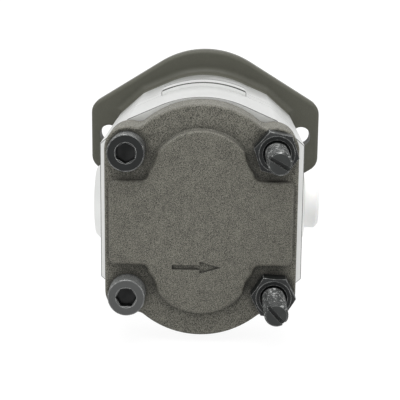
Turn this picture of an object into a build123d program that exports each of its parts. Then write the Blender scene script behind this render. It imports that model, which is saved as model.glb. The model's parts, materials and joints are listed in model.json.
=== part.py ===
from build123d import *
import os
from math import acos, atan2, cos, pi, radians, sin, sqrt, tan

# Tandem gear pump, in millimetres. The drive shafts lie on the Y axis and the idler shafts below them.
# The origin is the centre of the pilot on the mounting face, +Y points out of the drive end, +Z up.

# Gears
gear_teeth = 12
gear_module = 2.9
pressure_angle = radians(22)
tooth_addendum = 2.9
tooth_dedendum = 3.6
tooth_thinning = 0.1
gear_side_clearance = 0.06
gear_tip_clearance = 0.08

# Shafts and bushes
journal_radius = 9.0
journal_clearance = 0.04
journal_end_gap = 0.3
bush_wall = 1.5
bush_seat_clearance = 0.02
block_length = 15.0
block_clearance = 0.05
shaft_chamfer = 0.8

# Lengths along the shafts, from the mounting face towards the rear
flange_thickness = 12.0
collar_length = 13.0
front_body_length = 46.0
interstage_length = 14.5
rear_body_length = 45.0
cover_thickness = 20.5
plateau_height = 3.5

# Housing outline across the shafts, measured from the plane midway between the gear axes
bolt_half_width = 31.75
bolt_half_height = 31.5
boss_radius = 10.05
cover_arc_centre = 12.3
boss_proud = 8.25
outline_blend = 5.0
body_arc_radius = 47.0
body_arc_step = 0.9
body_pad_proud = 3.8
corner_flat_reach = 8.6
corner_flat_slope = radians(41.6)
land_rise = 2.2
land_half_width = 20.5
land_end_round = 1.8
joint_edge_break = 0.3

# Raised field on the rear cover
plateau_arc_radius = 23.0
plateau_side_margin = 2.3
plateau_half_height = 18.6
plateau_bolt_relief = 13.0
plateau_blend = 3.0
plateau_edge_round = 1.2
plateau_root_round = 0.9
cover_edge_round = 1.2
arrow_tail_x = -12.4
arrow_tip_x = 9.0
arrow_head_length = 9.4
arrow_half_width = 1.0
arrow_head_half_width = 2.7
arrow_drop = 19.4
arrow_depth = 1.0

# Mounting flange, two bolts, about the drive axis
flange_round_radius = 47.0
flange_ear_margin = 9.7
flange_ear_half_height = 20.0
flange_ear_round = 8.0
flange_bolt_spacing = 106.4
flange_hole_radius = 5.25
flange_edge_round = 2.0
flange_front_round = 1.0
flange_collar_blend = 3.5
pilot_radius = 41.275
pilot_height = 6.35
pilot_chamfer = 1.0
lower_lug_setback = 3.0

# Shaft seal and its retaining ring, at the front of the flange
seal_outer_radius = 17.5
seal_seat_clearance = 0.02
seal_lip_clearance = 0.05
seal_width = 7.0
seal_seat_depth = 13.0
shaft_passage_radius = 9.6
circlip_thickness = 1.5
circlip_groove_clearance = 0.1
circlip_groove_depth = 1.1
circlip_band = 2.6
circlip_lug_radius = 2.6
circlip_hole_radius = 1.1
circlip_gap_angle = 20.0

# Splined drive end and splined coupling between the sections
drive_end_reach = 31.8
drive_spline_teeth = 9
drive_spline_outer_radius = 7.73
drive_spline_root_radius = 6.45
drive_spline_length = 24.0
centre_drill_radius = 2.6
inner_spline_teeth = 10
inner_spline_outer_radius = 7.4
inner_spline_root_radius = 6.3
spline_clearance = 0.05
spline_land_share = 0.46
coupling_radius = 11.6
coupling_bore_clearance = 0.5
coupling_end_gap = 0.4
coupling_chamfer = 0.8
stub_gap = 0.6

# Fasteners
bolt_radius = 5.0
bolt_pitch = 1.5
bolt_hole_clearance = 0.25
thread_clearance = 0.02
thread_hole_depth = 20.0
thread_engagement = 14.0
thread_relief = 0.5
screw_head_radius = 8.0
screw_head_height = 10.0
screw_socket_flats = 8.0
screw_socket_depth = 5.0
screw_head_chamfer = 0.9
nut_flats = 17.0
nut_height = 8.0
nut_countersink = 0.4
stud_reach = 24.3
stud_slot_width = 1.7
stud_slot_depth = 2.6
stud_chamfer = 0.7
upper_slot_angle = -30.0
lower_slot_angle = -47.0
upper_nut_angle = 18.5
lower_nut_angle = 27.0
upper_socket_angle = 0.0
lower_socket_angle = 30.0

# Dowel pins at every joint of the housing
dowel_radius = 2.5
dowel_length = 9.0
dowel_half_spacing = 34.0
dowel_clearance = 0.02
dowel_end_gap = 0.3

# Seals between the housings and on the bearing blocks
housing_seal_width = 2.4
housing_seal_depth = 1.9
housing_seal_margin = 2.6
groove_clearance = 0.1
balance_seal_radius = 17.4
balance_seal_width = 2.4
balance_groove_depth = 2.4
backup_ring_thickness = 0.8
balance_seal_overrun = 3.0
relief_pocket_depth = 1.0
relief_pocket_width = 5.0
relief_pocket_height = 4.0
relief_pocket_offset = 3.0

# Ports
inlet_thread_radius = 12.35
inlet_thread_depth = 19.0
outlet_thread_radius = 10.2
outlet_thread_depth = 17.0
port_passage_radius = 7.0
port_chamfer = 1.2
boss_base_radius = 19.5
boss_top_radius = 15.8
inlet_boss_height = 3.7
outlet_boss_height = 1.6
plug_shank_clearance = 0.1
plug_shank_length = 12.0
plug_head_radius = 11.4
plug_head_height = 6.8
plug_chamfer = 1.5
plug_socket_flats = 12.0
plug_socket_depth = 8.0

# Derived places
centre_distance = gear_teeth * gear_module
idler_z = -centre_distance
middle_z = -centre_distance / 2
gear_tip_radius = gear_module * gear_teeth / 2 + tooth_addendum
gear_root_radius = gear_module * gear_teeth / 2 - tooth_dedendum
chamber_radius = gear_tip_radius + gear_tip_clearance
bush_bore_radius = journal_radius + journal_clearance
bush_outer_radius = bush_bore_radius + bush_wall
block_radius = chamber_radius - block_clearance
boss_distance = sqrt(bolt_half_width**2 + (bolt_half_height - cover_arc_centre) ** 2)
cover_arc_radius = boss_distance + boss_radius - boss_proud
body_arc_centre = cover_arc_centre + cover_arc_radius + body_arc_step - body_arc_radius
plateau_half_width = bolt_half_width + boss_radius - plateau_side_margin
body_pad_half_width = bolt_half_width + boss_radius + body_pad_proud
inlet_boss_reach = body_pad_half_width + inlet_boss_height
outlet_boss_reach = body_pad_half_width + outlet_boss_height
flange_half_width = flange_bolt_spacing / 2 + flange_ear_margin
bolt_hole_radius = bolt_radius + bolt_hole_clearance
engaged_radius = bolt_radius - 0.325 * bolt_pitch
flange_rear = -flange_thickness
collar_rear = flange_rear - collar_length
front_body_rear = collar_rear - front_body_length
interstage_rear = front_body_rear - interstage_length
rear_body_rear = interstage_rear - rear_body_length
cover_seat = rear_body_rear - cover_thickness
plateau_rear = cover_seat - plateau_height
front_port_y = (collar_rear + front_body_rear) / 2
rear_port_y = (interstage_rear + rear_body_rear) / 2
bolt_end = collar_rear + thread_engagement


def across(y):
    """Section plane across the shafts at y. Local x is X, local y is Z and it faces the rear."""
    return Plane(origin=(0, y, 0), x_dir=(1, 0, 0), z_dir=(0, -1, 0))


def between(sketch, front, rear):
    """Solid whose cross-section runs from the plane y = front back to y = rear."""
    return extrude(across(front) * sketch, amount=front - rear)


def rod(x, z, radius, front, rear):
    """Round bar or hole along Y."""
    return between(Pos(x, z) * Circle(radius), front, rear)


def side_rod(y, radius, inner, outer):
    """Round bar or hole along X at the height of the ports. inner and outer are distances with a sign."""
    plane = Plane(origin=(inner, y, middle_z), x_dir=(0, 1, 0), z_dir=(1, 0, 0))
    return extrude(plane * Circle(radius), amount=outer - inner)


def turned(profile_points):
    """Solid of revolution about Y from (radius, y) points."""
    outline = make_face(Polyline(*[(radius, y, 0) for radius, y in profile_points], close=True))
    return revolve(outline, Axis.Y)


def edges_at(part, y):
    """Edges that lie in the plane y."""
    return part.edges().filter_by_position(Axis.Y, y - 1e-3, y + 1e-3)


def edges_along(part, y, sketch):
    """Edges in the plane y that follow the outline of a cross-section sketch."""
    outline = (across(y) * sketch).edges()
    return ShapeList(e for e in edges_at(part, y) if min(o.distance_to(e.center()) for o in outline) < 0.01)


def bolt_places():
    """The four bolt centres as (x, z)."""
    return [(sx * bolt_half_width, middle_z + sz * bolt_half_height) for sx in (-1, 1) for sz in (-1, 1)]


def bolt_holes(front, rear):
    return [rod(x, z, bolt_hole_radius, front, rear) for x, z in bolt_places()]


def dowel_holes(face_y, side):
    """Blind holes for the two dowel pins in a joint face. side is +1 where the metal lies in front of it."""
    depth = side * (dowel_length / 2 + dowel_end_gap)
    front, rear = max(face_y, face_y + depth), min(face_y, face_y + depth)
    radius = dowel_radius + dowel_clearance
    return [rod(x, middle_z, radius, front, rear) for x in (-dowel_half_spacing, dowel_half_spacing)]


def twin_circles(radius):
    """Figure of eight made of one circle on each gear axis."""
    return Circle(radius) + Pos(0, idler_z) * Circle(radius)


def racetrack(radius):
    """Outline that wraps both gear axes at one distance."""
    return twin_circles(radius) + Pos(0, middle_z) * Rectangle(2 * radius, centre_distance)


def cover_outline():
    """Large arcs above and below, a round boss at each bolt, rounded hollows between and straight sides."""
    outline = Rectangle(2 * (bolt_half_width + boss_radius), 2 * bolt_half_height)
    for sz in (-1, 1):
        outline += Pos(0, sz * cover_arc_centre) * Circle(cover_arc_radius)
        for sx in (-1, 1):
            outline += Pos(sx * bolt_half_width, sz * bolt_half_height) * Circle(boss_radius)
    hollows = [
        v for v in outline.vertices() if abs(v.Y) > bolt_half_height + 2 and abs(v.X) < bolt_half_width
    ]
    return Pos(0, middle_z) * fillet(hollows, outline_blend)


def crown(radius, half_width):
    """Upright strip between the body's upper and lower arcs, about the middle line."""
    both = Pos(0, body_arc_centre) * Circle(radius) + Pos(0, -body_arc_centre) * Circle(radius)
    return both & Rectangle(2 * half_width, 3 * radius)


def body_outline():
    """Flatter arcs that run straight over the bosses, side pads and sloping flat corners."""
    rise = bolt_half_height - body_arc_centre
    spread = sqrt(bolt_half_width**2 + rise**2)
    lean = atan2(rise, bolt_half_width) + acos((body_arc_radius - boss_radius) / spread)
    arc_end = body_arc_radius * cos(lean)
    boss_top = bolt_half_height + boss_radius * sin(lean)
    quarter = [
        (body_pad_half_width, boss_top),
        (bolt_half_width + boss_radius * cos(lean), boss_top),
        (arc_end, body_arc_centre + body_arc_radius * sin(lean)),
    ]
    upper = quarter + [(-x, z) for x, z in reversed(quarter)]
    lower = [(x, -z) for x, z in reversed(upper)]
    outline = make_face(Polyline(*(upper + lower), close=True)) + crown(body_arc_radius, arc_end)
    across_flat = bolt_half_width * sin(corner_flat_slope) + bolt_half_height * cos(corner_flat_slope)
    tip_x = (across_flat + corner_flat_reach) / sin(corner_flat_slope)
    tip_z = (across_flat + corner_flat_reach) / cos(corner_flat_slope)
    flats = make_face(Polyline((tip_x, 0), (0, tip_z), (-tip_x, 0), (0, -tip_z), close=True))
    return Pos(0, middle_z) * (outline & flats)


def interstage_outline():
    """The body's outline with a raised land above and below, rounded at its ends."""
    lands = crown(body_arc_radius + land_rise, land_half_width)
    return body_outline() + Pos(0, middle_z) * fillet(lands.vertices(), land_end_round)


def gear_outline():
    """Involute spur gear with a rounded root. One tooth is centred on local +y."""
    base = gear_module * gear_teeth / 2 * cos(pressure_angle)
    pitch_thickness = pi * gear_module / 2 - tooth_thinning
    half_at_base = pitch_thickness / (gear_module * gear_teeth) + tan(pressure_angle) - pressure_angle
    steps = 6
    flank = []
    for i in range(steps + 1):
        radius = base + (gear_tip_radius - base) * (i / steps) ** 1.5
        roll = sqrt(max((radius / base) ** 2 - 1, 0))
        angle = half_at_base - (roll - atan2(roll, 1))
        flank.append((radius * sin(angle), radius * cos(angle)))
    mirrored = [(-x, y) for x, y in flank]
    gap_angle = pi / gear_teeth
    next_foot = 2 * gap_angle - half_at_base
    tooth = [
        Spline(*mirrored),
        ThreePointArc(mirrored[-1], (0, gear_tip_radius), flank[-1]),
        Spline(*reversed(flank)),
        ThreePointArc(
            flank[0],
            (gear_root_radius * sin(gap_angle), gear_root_radius * cos(gap_angle)),
            (base * sin(next_foot), base * cos(next_foot)),
        ),
    ]
    edges = [Rot(0, 0, -360 * i / gear_teeth) * e for i in range(gear_teeth) for e in tooth]
    return make_face(Wire(edges))


def spline_outline(teeth, outer_radius, root_radius, growth=0.0):
    """Straight-sided spline. growth widens it all round, for the socket that takes it."""
    ring = Circle(root_radius + growth)
    width = 2 * pi * outer_radius / teeth * spline_land_share + 2 * growth
    for i in range(teeth):
        ring += Rot(0, 0, 360 * i / teeth) * Pos(0, outer_radius / 2) * Rectangle(width, outer_radius)
    return ring & Circle(outer_radius + growth)


def hexagon(flats, angle=0.0):
    """Hexagon by its width across flats. At angle 0 two corners point up and down."""
    return Rot(0, 0, angle) * RegularPolygon(flats / 2, 6, major_radius=False, rotation=30)


def gear_shaft(x, z, turn, gear_front, gear_rear, front_end, rear_end):
    """Gear with its two journals, which run from front_end to rear_end."""
    gear = between(Pos(x, z) * Rot(0, 0, turn) * gear_outline(), gear_front, gear_rear)
    shaft = rod(x, z, journal_radius, front_end, rear_end)
    ends = edges_at(shaft, front_end) + edges_at(shaft, rear_end)
    return gear + chamfer(ends, shaft_chamfer)


def gear_span(front, rear):
    """Front and rear faces of a gear between the bearing blocks of a section."""
    return front - block_length - gear_side_clearance, rear + block_length + gear_side_clearance


def bearing_block(outer_y, side):
    """Block for both shafts at one end of a section. side is +1 where its gears lie towards the rear."""
    inner_y = outer_y - side * block_length
    block = between(twin_circles(block_radius), max(outer_y, inner_y), min(outer_y, inner_y))
    bore = bush_outer_radius + bush_seat_clearance
    for z in (0, idler_z):
        block -= rod(0, z, bore, max(outer_y, inner_y), min(outer_y, inner_y))
    pocket_x = relief_pocket_offset + relief_pocket_width / 2
    for sx in (-1, 1):
        pocket = Pos(sx * pocket_x, middle_z) * Rectangle(relief_pocket_width, relief_pocket_height)
        deep = inner_y + side * relief_pocket_depth
        block -= between(pocket, max(inner_y, deep), min(inner_y, deep))
    deep = outer_y - side * balance_groove_depth
    return block - between(balance_ring(0.0), max(outer_y, deep), min(outer_y, deep))


def balance_ring(shrink):
    """Three-shaped path on the outlet side, around both bores and joined between them."""
    outer = twin_circles(balance_seal_radius + balance_seal_width / 2 - shrink)
    inner = twin_circles(balance_seal_radius - balance_seal_width / 2 + shrink)
    span = 2 * gear_tip_radius
    low_x = shrink - balance_seal_overrun
    return (outer - inner) & (Pos(low_x + span / 2, middle_z) * Rectangle(span, 3 * span))


def balance_piece(outer_y, side, start, end):
    """Solid in a balance groove, between two depths below the block's outer face."""
    first, second = outer_y - side * start, outer_y - side * end
    return between(balance_ring(groove_clearance), max(first, second), min(first, second))


def housing_seal_ring(shrink):
    inner = chamber_radius + housing_seal_margin
    return racetrack(inner + housing_seal_width - shrink) - racetrack(inner + shrink)


def pump_body(front, rear, port_y):
    """Aluminium body with the gear chamber, the two ports, bolt holes, dowel holes and seal grooves."""
    body = between(body_outline(), front, rear)
    body = chamfer(edges_at(body, front) + edges_at(body, rear), joint_edge_break)
    for side, reach in ((-1, inlet_boss_reach), (1, outlet_boss_reach)):
        root = body_pad_half_width - 2
        face = Plane(origin=(side * root, port_y, middle_z), x_dir=(0, 1, 0), z_dir=(side, 0, 0))
        body += extrude(face * Circle(boss_base_radius), amount=2) + loft(
            [
                face.offset(2) * Circle(boss_base_radius),
                face.offset(reach - root) * Circle(boss_top_radius),
            ]
        )
    body -= between(twin_circles(chamber_radius), front, rear)
    body -= side_rod(port_y, port_passage_radius, -inlet_boss_reach, outlet_boss_reach)
    for side, reach, radius, depth in (
        (-1, inlet_boss_reach, inlet_thread_radius, inlet_thread_depth),
        (1, outlet_boss_reach, outlet_thread_radius, outlet_thread_depth),
    ):
        mouth = Plane(origin=(side * reach, port_y, middle_z), x_dir=(0, 1, 0), z_dir=(-side, 0, 0))
        body -= extrude(mouth * Circle(radius), amount=depth)
        body -= loft([mouth * Circle(radius + port_chamfer), mouth.offset(port_chamfer) * Circle(radius)])
    for hole in bolt_holes(front, rear) + dowel_holes(front, -1) + dowel_holes(rear, 1):
        body -= hole
    seal = housing_seal_ring(0.0)
    body -= between(seal, front, front - housing_seal_depth)
    return body - between(seal, rear + housing_seal_depth, rear)


def section_parts(name, front, rear, port_y):
    """Body, seals, bearing blocks and bushes of one pumping section."""
    ring = housing_seal_ring(groove_clearance)
    depth = housing_seal_depth
    seals = [between(ring, front, front - depth), between(ring, rear + depth, rear)]
    faces = ((front, 1), (rear, -1))
    soft = balance_groove_depth
    bushes = []
    for outer_y, side in faces:
        inner_y = outer_y - side * block_length
        high, low = max(outer_y, inner_y), min(outer_y, inner_y)
        for z in (0, idler_z):
            bushes.append(rod(0, z, bush_outer_radius, high, low) - rod(0, z, bush_bore_radius, high, low))
    return {
        f"{name}_body": pump_body(front, rear, port_y),
        f"{name}_body_seals": Compound(children=seals),
        f"{name}_block_fore": bearing_block(front, 1),
        f"{name}_block_aft": bearing_block(rear, -1),
        f"{name}_bushes": Compound(children=bushes),
        f"{name}_balance_seals": Compound(
            children=[balance_piece(y, side, backup_ring_thickness, soft) for y, side in faces]
        ),
        f"{name}_backup_rings": Compound(
            children=[balance_piece(y, side, 0, backup_ring_thickness) for y, side in faces]
        ),
    }


def flange_outline():
    """Plate stretched round the pilot's circle and the four ear corners, about the drive axis."""
    ear_x = flange_half_width - flange_ear_round
    ear_z = flange_ear_half_height - flange_ear_round
    rings = [Pos(sx * ear_x, sz * ear_z) * Circle(flange_ear_round) for sx in (-1, 1) for sz in (-1, 1)]
    rings.append(Circle(flange_round_radius))
    return make_hull(ShapeList(edge for ring in rings for edge in ring.edges()))


def mounting_flange():
    """Front cover: ear plate with pilot, behind it a collar of the bodies' outline with tapped holes."""
    plate = between(flange_outline(), 0, flange_rear)
    plate = fillet(edges_at(plate, 0), flange_front_round)
    part = plate + between(body_outline(), -lower_lug_setback, collar_rear)
    part = fillet(edges_along(part, flange_rear, flange_outline()), flange_edge_round)
    part = fillet(edges_along(part, flange_rear, body_outline()), flange_collar_blend)
    part = chamfer(edges_along(part, collar_rear, body_outline()), joint_edge_break)
    pilot = rod(0, 0, pilot_radius, pilot_height, -1)
    part += chamfer(edges_at(pilot, pilot_height), pilot_chamfer)
    seat_bottom = pilot_height - seal_seat_depth
    part -= rod(0, 0, seal_outer_radius + seal_seat_clearance, pilot_height, seat_bottom)
    part -= rod(0, 0, shaft_passage_radius, seat_bottom, collar_rear)
    groove_front = seat_bottom + seal_width + circlip_thickness + circlip_groove_clearance
    groove_radius = seal_outer_radius + circlip_groove_depth
    part -= rod(0, 0, groove_radius, groove_front, seat_bottom + seal_width)
    for sx in (-1, 1):
        part -= rod(sx * flange_bolt_spacing / 2, 0, flange_hole_radius, 0, flange_rear)
    for x, z in bolt_places():
        part -= rod(x, z, engaged_radius + thread_clearance, collar_rear + thread_hole_depth, collar_rear)
    for hole in dowel_holes(collar_rear, 1):
        part -= hole
    return part


def shaft_seal():
    """Cased lip seal: an outer case, an open front and a lip that runs on the shaft."""
    rear = pilot_height - seal_seat_depth
    front = rear + seal_width
    lip = journal_radius + seal_lip_clearance
    return turned(
        [
            (seal_outer_radius, rear),
            (seal_outer_radius, front),
            (lip + 2.2, front),
            (lip, front - 1.2),
            (lip + 0.6, front - 2.0),
            (lip + 1.2, front - 2.0),
            (lip + 0.3, rear + 2.6),
            (lip, rear + 2.2),
            (lip + 0.9, rear + 0.6),
            (lip + 2.6, rear + 0.6),
            (lip + 2.9, front - 1.8),
            (seal_outer_radius - 1.2, front - 1.8),
            (seal_outer_radius - 1.2, rear),
        ]
    )


def seal_circlip():
    """Internal retaining ring with two lugs at the bottom."""
    rear = pilot_height - seal_seat_depth + seal_width
    outer = seal_outer_radius + circlip_groove_depth - circlip_groove_clearance
    inner = outer - circlip_band
    ring = Circle(outer) - Circle(inner)
    gap = radians(circlip_gap_angle)
    wedge_x, wedge_z = 2 * outer * sin(gap), -2 * outer * cos(gap)
    wedge = make_face(Polyline((0, 0), (-wedge_x, wedge_z), (wedge_x, wedge_z), close=True))
    ring -= wedge
    lug_path = inner - circlip_lug_radius / 2
    for sx in (-1, 1):
        place = Pos(sx * lug_path * sin(1.25 * gap), -lug_path * cos(1.25 * gap))
        ring += place * Circle(circlip_lug_radius)
        ring -= place * Circle(circlip_hole_radius)
    return between(ring, rear + circlip_thickness, rear)


def interstage_plate():
    part = between(interstage_outline(), front_body_rear, interstage_rear)
    part = chamfer(edges_at(part, front_body_rear) + edges_at(part, interstage_rear), joint_edge_break)
    part -= rod(0, 0, coupling_radius + coupling_bore_clearance, front_body_rear, interstage_rear)
    holes = bolt_holes(front_body_rear, interstage_rear)
    for hole in holes + dowel_holes(front_body_rear, -1) + dowel_holes(interstage_rear, 1):
        part -= hole
    return part


def plateau_outline():
    """Raised field of the cover: round over each gear axis, wide in the middle, relieved at the bolts."""
    field = Rectangle(2 * plateau_half_width, 2 * plateau_half_height)
    for sz in (-1, 1):
        field += Pos(0, sz * centre_distance / 2) * Circle(plateau_arc_radius)
    for sx in (-1, 1):
        for sz in (-1, 1):
            field -= Pos(sx * bolt_half_width, sz * bolt_half_height) * Circle(plateau_bolt_relief)
    corners = [v for v in field.vertices() if abs(v.Y) > 1 and abs(v.X) > 1]
    return Pos(0, middle_z) * fillet(corners, plateau_blend)


def rear_cover():
    part = between(cover_outline(), rear_body_rear, cover_seat)
    part = chamfer(edges_at(part, rear_body_rear), joint_edge_break)
    part = fillet(edges_at(part, cover_seat), cover_edge_round)
    field = between(plateau_outline(), cover_seat + 1, plateau_rear)
    part += fillet(edges_at(field, plateau_rear), plateau_edge_round)
    part = fillet(edges_along(part, cover_seat, plateau_outline()), plateau_root_round)
    head_x = arrow_tip_x - arrow_head_length
    arrow = make_face(
        Polyline(
            (arrow_tail_x, -arrow_half_width),
            (head_x, -arrow_half_width),
            (head_x, -arrow_head_half_width),
            (arrow_tip_x, 0),
            (head_x, arrow_head_half_width),
            (head_x, arrow_half_width),
            (arrow_tail_x, arrow_half_width),
            close=True,
        )
    )
    part -= between(Pos(0, middle_z - arrow_drop) * arrow, plateau_rear + arrow_depth, plateau_rear)
    for hole in bolt_holes(rear_body_rear, cover_seat) + dowel_holes(rear_body_rear, -1):
        part -= hole
    return part


def drive_shafts():
    """Both drive gears, the splined ends between them and the splined drive end."""
    front, rear = gear_span(collar_rear, front_body_rear)
    neck_front = drive_end_reach - drive_spline_length
    first = gear_shaft(0, 0, 0, front, rear, neck_front, front_body_rear + journal_end_gap)
    end = between(
        spline_outline(drive_spline_teeth, drive_spline_outer_radius, drive_spline_root_radius),
        drive_end_reach,
        neck_front,
    )
    cone = turned(
        [
            (0, neck_front),
            (drive_spline_outer_radius + 1, neck_front),
            (drive_spline_outer_radius + 1, drive_end_reach - 2.5),
            (drive_spline_root_radius - 0.4, drive_end_reach),
            (0, drive_end_reach),
        ]
    )
    first += end & cone
    drill_tip = drive_end_reach - 1.7 * centre_drill_radius
    first -= turned([(0, drive_end_reach), (centre_drill_radius, drive_end_reach), (0, drill_tip)])
    middle = (front_body_rear + interstage_rear) / 2
    stub = spline_outline(inner_spline_teeth, inner_spline_outer_radius, inner_spline_root_radius)
    first += between(stub, front_body_rear + journal_end_gap, middle + stub_gap / 2)
    front, rear = gear_span(interstage_rear, rear_body_rear)
    second = gear_shaft(
        0, 0, 0, front, rear, interstage_rear - journal_end_gap, rear_body_rear + journal_end_gap
    )
    second += between(stub, middle - stub_gap / 2, interstage_rear - journal_end_gap)
    return first, second


def idler_shaft(front, rear):
    gear_front, gear_rear = gear_span(front, rear)
    half_pitch = 180 / gear_teeth
    return gear_shaft(
        0, idler_z, half_pitch, gear_front, gear_rear, front - journal_end_gap, rear + journal_end_gap
    )


def coupling_sleeve():
    front, rear = front_body_rear - coupling_end_gap, interstage_rear + coupling_end_gap
    sleeve = rod(0, 0, coupling_radius, front, rear)
    sleeve = chamfer(edges_at(sleeve, front) + edges_at(sleeve, rear), coupling_chamfer)
    socket = spline_outline(
        inner_spline_teeth, inner_spline_outer_radius, inner_spline_root_radius, spline_clearance
    )
    return sleeve - between(socket, front, rear)


def cap_screw(x, z, socket_angle):
    head_rear = cover_seat - screw_head_height
    head = rod(x, z, screw_head_radius, cover_seat, head_rear)
    head = chamfer(edges_at(head, head_rear), screw_head_chamfer)
    socket = Pos(x, z) * hexagon(screw_socket_flats, socket_angle)
    head -= between(socket, head_rear + screw_socket_depth, head_rear)
    shank_front = collar_rear - thread_relief
    shank = rod(x, z, bolt_radius, shank_front, cover_seat)
    return head + shank + rod(x, z, engaged_radius, bolt_end, shank_front)


def stud(x, z, slot_angle):
    """Stud whose shank is turned down to the mean of its thread as far as the nut's rear face."""
    nut_rear = cover_seat - nut_height
    rear = nut_rear - stud_reach
    bar = rod(x, z, bolt_radius, nut_rear, rear)
    bar = chamfer(edges_at(bar, rear), stud_chamfer) + rod(x, z, engaged_radius, bolt_end, nut_rear)
    slot = Pos(x, z) * Rot(0, 0, slot_angle) * Rectangle(3 * bolt_radius, stud_slot_width)
    return bar - between(slot, rear + stud_slot_depth, rear)


def nut(x, z, angle):
    """Hexagon nut with its corners turned off and a countersunk thread."""
    rear = cover_seat - nut_height
    body = between(Pos(x, z) * hexagon(nut_flats, angle), cover_seat, rear)
    corner = nut_flats / sqrt(3)
    drop = (corner - nut_flats / 2) * tan(radians(30))
    rounded = Pos(x, 0, z) * turned(
        [(0, cover_seat), (corner, cover_seat), (corner, rear + drop), (nut_flats / 2, rear), (0, rear)]
    )
    mouth = bolt_radius + nut_countersink
    sink = Pos(x, 0, z) * turned([(0, rear), (mouth, rear), (0, rear + mouth)])
    return (body & rounded) - rod(x, z, engaged_radius + thread_clearance, cover_seat, rear) - sink


def dowel_pins():
    pins = []
    for face_y in (collar_rear, front_body_rear, interstage_rear, rear_body_rear):
        for x in (-dowel_half_spacing, dowel_half_spacing):
            pins.append(rod(x, middle_z, dowel_radius, face_y + dowel_length / 2, face_y - dowel_length / 2))
    return Compound(children=pins)


def outlet_plug():
    """Plastic plug screwed into the rear section's outlet, with a hexagon socket in its head."""
    top = outlet_boss_reach + plug_head_height
    head = side_rod(rear_port_y, plug_head_radius, outlet_boss_reach, top)
    rim = head.edges().filter_by_position(Axis.X, top - 1e-3, top + 1e-3)
    head = chamfer(rim, plug_chamfer)
    shank_radius = outlet_thread_radius - plug_shank_clearance
    head += side_rod(rear_port_y, shank_radius, outlet_boss_reach - plug_shank_length, outlet_boss_reach)
    mouth = Plane(origin=(top, rear_port_y, middle_z), x_dir=(0, 1, 0), z_dir=(-1, 0, 0))
    return head - extrude(mouth * hexagon(plug_socket_flats), amount=plug_socket_depth)


def build():
    """Every piece by its node name."""
    upper, lower = middle_z + bolt_half_height, middle_z - bolt_half_height
    left, right = -bolt_half_width, bolt_half_width
    front_drive, rear_drive = drive_shafts()
    parts = {
        "mounting_flange": mounting_flange(),
        "shaft_seal": shaft_seal(),
        "seal_circlip": seal_circlip(),
        "interstage_plate": interstage_plate(),
        "rear_cover": rear_cover(),
        "front_drive_gear": front_drive,
        "rear_drive_gear": rear_drive,
        "coupling_sleeve": coupling_sleeve(),
        "front_idler_gear": idler_shaft(collar_rear, front_body_rear),
        "rear_idler_gear": idler_shaft(interstage_rear, rear_body_rear),
        "cap_screws": Compound(
            children=[
                cap_screw(left, upper, upper_socket_angle),
                cap_screw(left, lower, lower_socket_angle),
            ]
        ),
        "studs": Compound(
            children=[stud(right, upper, upper_slot_angle), stud(right, lower, lower_slot_angle)]
        ),
        "stud_nuts": Compound(
            children=[nut(right, upper, upper_nut_angle), nut(right, lower, lower_nut_angle)]
        ),
        "dowel_pins": dowel_pins(),
        "outlet_plug": outlet_plug(),
    }
    parts.update(section_parts("front", collar_rear, front_body_rear, front_port_y))
    parts.update(section_parts("rear", interstage_rear, rear_body_rear, rear_port_y))
    return parts


os.makedirs("parts", exist_ok=True)
for node, solid in build().items():
    export_step(solid, f"parts/{node}.step")
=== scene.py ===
"""Looks of the tandem hydraulic pump: finishes, threads, screw heads and nuts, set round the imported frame.

Lengths are in metres in the row frame: the drive shafts lie on the Y axis, +Y points out of the
drive end, +Z points up and the rear cover faces -Y.
"""

import json
import logging
import math
from collections.abc import Callable
from dataclasses import dataclass
from enum import Enum

import bmesh
import bpy
from mathutils import Matrix, Vector

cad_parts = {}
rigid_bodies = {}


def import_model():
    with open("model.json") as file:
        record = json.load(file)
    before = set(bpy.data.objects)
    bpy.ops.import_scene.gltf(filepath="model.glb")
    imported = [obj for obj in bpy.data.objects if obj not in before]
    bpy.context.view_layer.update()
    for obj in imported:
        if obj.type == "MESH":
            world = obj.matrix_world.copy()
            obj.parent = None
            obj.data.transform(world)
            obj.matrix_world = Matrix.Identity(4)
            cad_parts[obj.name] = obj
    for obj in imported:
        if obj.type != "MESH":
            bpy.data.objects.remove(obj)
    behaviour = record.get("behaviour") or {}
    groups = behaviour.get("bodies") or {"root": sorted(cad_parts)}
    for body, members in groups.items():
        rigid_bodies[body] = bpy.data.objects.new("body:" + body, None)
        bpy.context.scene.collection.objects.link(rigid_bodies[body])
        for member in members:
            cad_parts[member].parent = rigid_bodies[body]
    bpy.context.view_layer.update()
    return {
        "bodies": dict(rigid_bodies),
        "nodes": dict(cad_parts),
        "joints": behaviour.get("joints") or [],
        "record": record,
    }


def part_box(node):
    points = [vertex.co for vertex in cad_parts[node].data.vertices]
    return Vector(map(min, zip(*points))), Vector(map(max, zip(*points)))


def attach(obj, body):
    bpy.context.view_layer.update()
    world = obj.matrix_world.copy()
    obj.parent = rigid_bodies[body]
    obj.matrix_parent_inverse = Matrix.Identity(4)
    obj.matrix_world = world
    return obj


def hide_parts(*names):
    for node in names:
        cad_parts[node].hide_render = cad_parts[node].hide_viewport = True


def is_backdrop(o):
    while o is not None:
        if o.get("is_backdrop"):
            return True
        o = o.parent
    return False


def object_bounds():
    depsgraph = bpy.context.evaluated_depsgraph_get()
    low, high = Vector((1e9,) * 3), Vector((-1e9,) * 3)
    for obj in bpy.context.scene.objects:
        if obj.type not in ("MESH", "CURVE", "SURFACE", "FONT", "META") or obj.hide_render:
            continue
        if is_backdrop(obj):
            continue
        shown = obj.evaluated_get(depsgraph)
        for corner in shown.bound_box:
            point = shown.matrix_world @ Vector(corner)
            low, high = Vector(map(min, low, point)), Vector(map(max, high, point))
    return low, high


log = logging.getLogger("pump")

MM = 0.001
# Height of the plane midway between the two gear axes.
MIDDLE_Z = -17.4 * MM
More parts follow.
